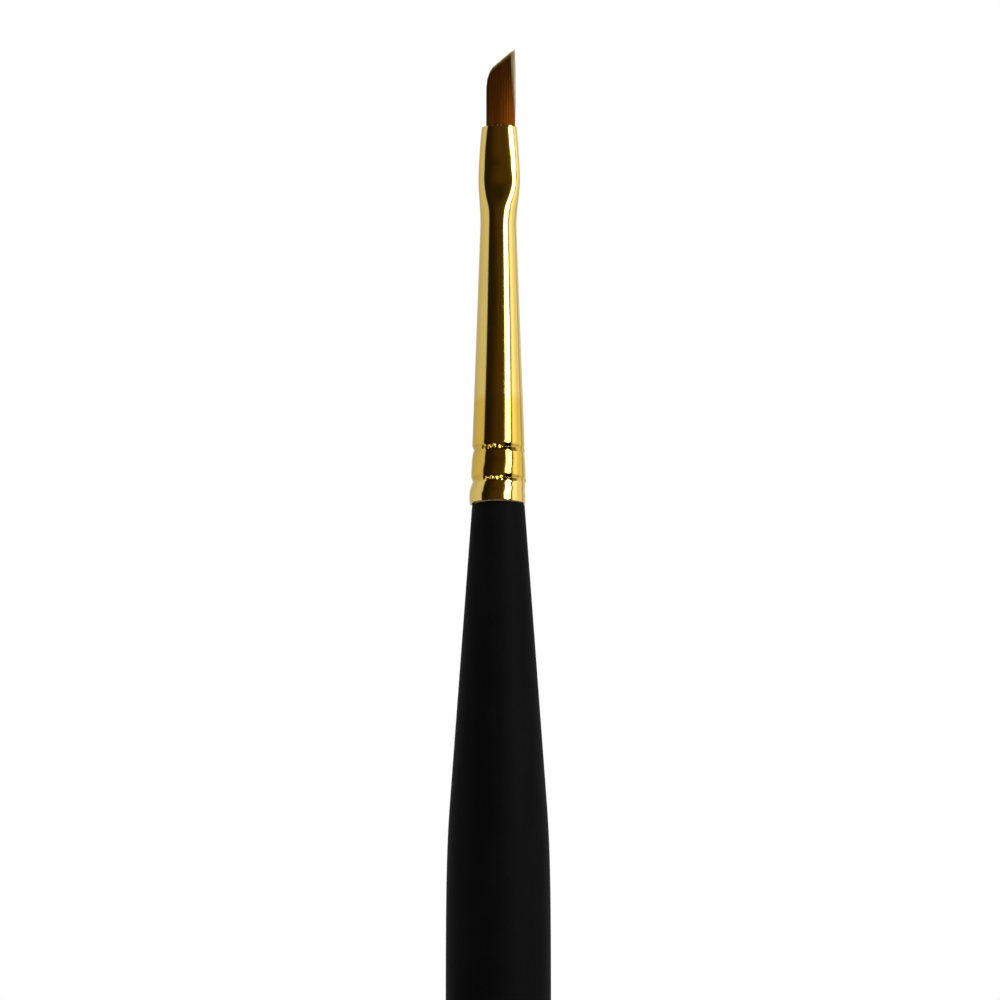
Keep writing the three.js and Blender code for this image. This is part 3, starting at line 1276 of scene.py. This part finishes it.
@dataclass
class InnerParts:
    """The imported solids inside, which keep their shape and get their own finishes."""

    wood: TurnedBirch = TurnedBirch()
    glue: SetAdhesive = SetAdhesive("set_glue", (0.70, 0.60, 0.36, 1.0),
                                    (0.52, 0.42, 0.22, 1.0), 0.35)
    resin: SetAdhesive = SetAdhesive("amber_resin", (0.50, 0.27, 0.05, 1.0),
                                     (0.34, 0.17, 0.03, 1.0), 0.12)
    thread: TwistedThread = TwistedThread()

    def dress(self) -> None:
        """Give each inner node its material."""
        finishes = {"handle_core": self.wood, "tenon_glue": self.glue,
                    "resin_plug": self.resin, "binding_thread": self.thread}
        for node, finish in finishes.items():
            dress(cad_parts[node], finish.material())
            LOG.info("%s dressed", node)


# ---------------------------------------------------------------- the studio


@dataclass
class Surroundings:
    """What the polished ferrule mirrors: a softbox, a dark flag, a ceiling and pale walls.

    Angles are in degrees: round the brush from the camera's side, and up from level.
    """

    radius: float = 0.75
    flag_from: float = -67.5
    flag_ease: float = 4.5
    box_from: float = 28.0
    box_to: float = 52.5
    box_ease: float = 6.0
    box_end_ease: tuple[float, float] = (4.0, -2.0)
    box_bottom: float = -5.0
    box_top: float = 33.0
    box_level_ease: float = 4.0
    box_corner: float = 9.0
    box_glow: float = 7.0
    lean: float = 6.0
    lean_levels: tuple[float, float] = (13.3, 15.6)
    right_wall: tuple[float, float] = (57.5, 62.5)
    gap_levels: tuple[float, float, float, float] = (21.5, 27.0, 48.0, 54.0)
    gap_end: tuple[float, float] = (96.0, 84.0)
    gap_depth: float = 0.85
    ceiling_from: float = 44.0
    ceiling_ease: float = 4.0
    ceiling_start_ease: float = 12.0
    ceiling_glow: float = 3.6
    below: tuple[float, float] = (-4.0, -14.0)
    below_loss: float = 0.12
    below_right_loss: float = 0.4
    wall_peak: float = 1.5
    wall_glow: tuple[Point, ...] = (
        (-180.0, 0.70), (-140.0, 0.52), (-100.0, 0.66), (-50.0, 0.68), (45.0, 0.33),
        (60.0, 0.33), (65.0, 1.00), (73.0, 1.35), (88.0, 1.00), (97.0, 0.85), (117.0, 0.85),
        (123.0, 0.50), (131.0, 0.50), (143.0, 0.75), (180.0, 0.70))
    flag_colours: tuple[tuple[float, Colour], ...] = (
        (-72.0, (0.014, 0.008, 0.001, 1.0)), (-38.0, (0.022, 0.015, 0.002, 1.0)),
        (-10.0, (0.066, 0.036, 0.005, 1.0)), (8.0, (0.060, 0.038, 0.006, 1.0)),
        (16.0, (0.082, 0.055, 0.010, 1.0)), (26.0, (0.105, 0.082, 0.022, 1.0)))
    flag_deep: Colour = (0.016, 0.0135, 0.002, 1.0)
    deep_levels: tuple[float, float] = (28.0, 37.0)
    shadow_side: tuple[float, float] = (-2.0, -16.0)
    shadow_levels: tuple[float, float, float, float] = (15.2, 16.4, 17.0, 19.0)
    shadow_share: float = 0.55
    unseen_by: tuple[str, ...] = ("camera", "diffuse", "transmission", "volume_scatter", "shadow")

    def __post_init__(self) -> None:
        """Start the dome's graph, and find each place's azimuth and elevation."""
        self.graph = Graph("studio_surroundings")
        across, along, up = self.graph.axes(self.graph.place())
        level = self.graph.math("SQRT", across * across + along * along)
        azimuth = self.angle(across, along * -1.0)
        self.elevation = self.angle(up, level)
        self.azimuth = azimuth - self.graph.fade(self.elevation, *self.lean_levels) * self.lean

    def angle(self, rise: Value, run: Value) -> Value:
        """The angle of a slope, in degrees."""
        return self.graph.math("ARCTAN2", rise, run) * (HALF_TURN / math.pi)

    def band(self, levels: tuple[float, float, float, float]) -> Value:
        """A mask that rises between the first two elevations and falls between the last two."""
        return self.graph.fade(self.elevation, *levels[:2]) \
            * self.graph.fade(self.elevation, levels[3], levels[2])

    def round_brush(self, stops: Sequence[tuple[float, Colour]]) -> bpy.types.NodeSocket:
        """The colour that (azimuth, colour) stops have round the brush."""
        share = (self.azimuth + HALF_TURN) / FULL_TURN
        return self.graph.ramp(share, [((azimuth + HALF_TURN) / FULL_TURN, colour)
                                       for azimuth, colour in stops])

    def softbox(self) -> Value:
        """Mask the softbox, whose corners are rounded.

        Returns:
            The mask.
        """
        fade, ease = self.graph.fade, self.box_level_ease
        corner = fade(self.elevation, self.box_bottom + self.box_corner, self.box_bottom) \
            + fade(self.elevation, self.box_top - self.box_corner, self.box_top)
        pinch = corner * self.box_corner
        end, end_full = (self.box_to + ease_out for ease_out in self.box_end_ease)
        return self.graph.step(self.azimuth - pinch, self.box_from, self.box_ease) \
            * fade(self.azimuth + pinch, end, end_full) \
            * self.graph.step(self.elevation, self.box_bottom, ease) \
            * self.graph.step(self.elevation, self.box_top, -ease)

    def walls(self, left: Value, right: Value) -> Value:
        """Light the walls, with a gap in the right one and less light below.

        Args:
            left: the left wall's mask.
            right: the right wall's mask.

        Returns:
            How bright the walls are.
        """
        gap = self.band(self.gap_levels) * self.graph.fade(self.azimuth, *self.gap_end)
        below = self.graph.fade(self.elevation, *self.below)
        glow = self.round_brush([(azimuth, (glow / self.wall_peak,) * 3 + (1.0,))
                                 for azimuth, glow in self.wall_glow])
        glow = Value(self.graph, glow) * self.wall_peak \
            * (1.0 - below * (self.below_loss + right * self.below_right_loss))
        return (left + right * (1.0 - gap * self.gap_depth)) * glow

    def flag(self) -> bpy.types.NodeSocket:
        """Colour the dark flag, deeper high up and at the left of the pressed front.

        Returns:
            The colour's socket.
        """
        fade = self.graph.fade
        deep = fade(self.elevation, *self.deep_levels) \
            + fade(self.azimuth, *self.shadow_side) * self.band(self.shadow_levels) \
            * self.shadow_share
        return self.graph.mix(deep, self.round_brush(self.flag_colours), self.flag_deep)

    def material(self) -> bpy.types.Material:
        """Join softbox, ceiling, walls and flag into the dome's glow.

        Returns:
            The material.
        """
        graph = self.graph
        left = graph.step(self.azimuth, self.flag_from, -self.flag_ease)
        right = graph.fade(self.azimuth, *self.right_wall)
        overhead = graph.step(self.elevation, self.ceiling_from, self.ceiling_ease) \
            * graph.fade(self.azimuth, self.flag_from, self.flag_from + self.ceiling_start_ease) \
            * (1.0 - right)
        lit = self.softbox() * self.box_glow + overhead * self.ceiling_glow \
            + self.walls(left, right)
        dark = (1.0 - left) * (1.0 - graph.step(self.azimuth, self.box_from, self.box_ease))
        glow = graph.mix(dark * (1.0 - overhead), lit.socket, self.flag())
        return graph.close(graph.node("ShaderNodeEmission", inputs={"Color": glow}))

    def build(self) -> None:
        """Hang the dome round the ferrule, where only mirrored rays meet it."""
        bpy.ops.object.select_all(action="DESELECT")
        bpy.ops.mesh.primitive_uv_sphere_add(segments=64, ring_count=32, radius=self.radius)
        dome = bpy.context.active_object
        dome.name = "studio_surroundings"
        dome.location = (0.0, 0.0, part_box("ferrule")[0].z)
        dress(dome, self.material())
        for ray in self.unseen_by:
            setattr(dome, "visible_" + ray, False)


@dataclass
class Studio:
    """Camera, floor and light.

    The camera's lengths are in millimetres. Its clipping, the floor and the lamp are in metres.
    """

    lens: float = 219.0
    distance: float = 426.0
    tilt: float = 9.5
    side_step: float = 0.112
    aim_above_ferrule: float = 0.28
    clip: tuple[float, float] = (0.01, 20.0)
    floor_side: float = 12.0
    floor_tones: tuple[float, float] = (0.95, 0.97)
    floor_clouds: Pattern = Pattern(3.0, 2.0)
    floor_rough: float = 0.9
    floor_sheen: float = 0.1
    lamp_azimuth: float = 40.25
    lamp_rise: float = 0.35
    lamp_distance: float = 0.7
    lamp_aim: float = 0.12
    lamp_size: tuple[float, float] = (0.35, 0.5)
    lamp_power: float = 2.5

    def camera(self) -> None:
        """Stand the camera in front of the brush, a little below the ferrule, looking up."""
        aim = Vector((0.0, 0.0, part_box("ferrule")[0].z + self.aim_above_ferrule * MM))
        tilt = math.radians(self.tilt)
        back = Vector((0.0, -math.cos(tilt), -math.sin(tilt))) * self.distance * MM
        bpy.ops.object.camera_add(location=aim + back + Vector((self.side_step * MM, 0.0, 0.0)),
                                  rotation=(math.radians(90.0) + tilt, 0.0, 0.0))
        camera = bpy.context.active_object
        camera.data.lens = self.lens
        camera.data.clip_start, camera.data.clip_end = self.clip
        bpy.context.scene.camera = camera

    def floor(self) -> None:
        """Lay a plain pale floor under the brush."""
        graph = Graph("pale_floor")
        cloudy = graph.noise(graph.place(), self.floor_clouds)
        dim, light = ((tone,) * 3 + (1.0,) for tone in self.floor_tones)
        material = graph.principled(Base_Color=graph.mix(cloudy, dim, light),
                                    Roughness=self.floor_rough,
                                    Specular_IOR_Level=self.floor_sheen)
        bpy.ops.mesh.primitive_plane_add(size=self.floor_side)
        floor = bpy.context.active_object
        floor.name = "floor"
        dress(floor, material)
        floor.visible_glossy = False

    def room_light(self) -> None:
        """Fill the room with even white light."""
        world = bpy.data.worlds.new("studio")
        world.use_nodes = True
        background = world.node_tree.nodes["Background"]
        background.inputs["Color"].default_value = (1.0, 1.0, 1.0, 1.0)
        background.inputs["Strength"].default_value = 1.0
        bpy.context.scene.world = world

    def lamp(self) -> None:
        """Set one soft lamp at the right, where the mirrored softbox is."""
        azimuth = math.radians(self.lamp_azimuth)
        aim = Vector((0.0, 0.0, self.lamp_aim))
        away = Vector((math.sin(azimuth), -math.cos(azimuth), self.lamp_rise))
        place = aim + away * self.lamp_distance
        bpy.ops.object.light_add(type="AREA", location=place)
        lamp = bpy.context.active_object
        lamp.data.shape = "RECTANGLE"
        lamp.data.size, lamp.data.size_y = self.lamp_size
        lamp.data.energy = self.lamp_power
        lamp.rotation_euler = (aim - place).to_track_quat("-Z", "Y").to_euler()
        lamp.visible_camera = False
        lamp.visible_glossy = False

    def build(self) -> None:
        """Set the studio up."""
        bpy.context.scene.view_settings.view_transform = "Standard"
        self.camera()
        self.floor()
        Surroundings().build()
        self.room_light()
        self.lamp()


def main() -> None:
    """Build the studio and the brush, piece by piece."""
    logging.basicConfig(level=logging.INFO, format="%(name)s: %(message)s")
    Studio().build()
    for builder in (Handle(), Ferrule(), HairBundle()):
        piece = builder.build()
        LOG.info("%s: %d faces", piece.name, len(piece.data.polygons))
    InnerParts().dress()


if __name__ == "__main__":
    main()
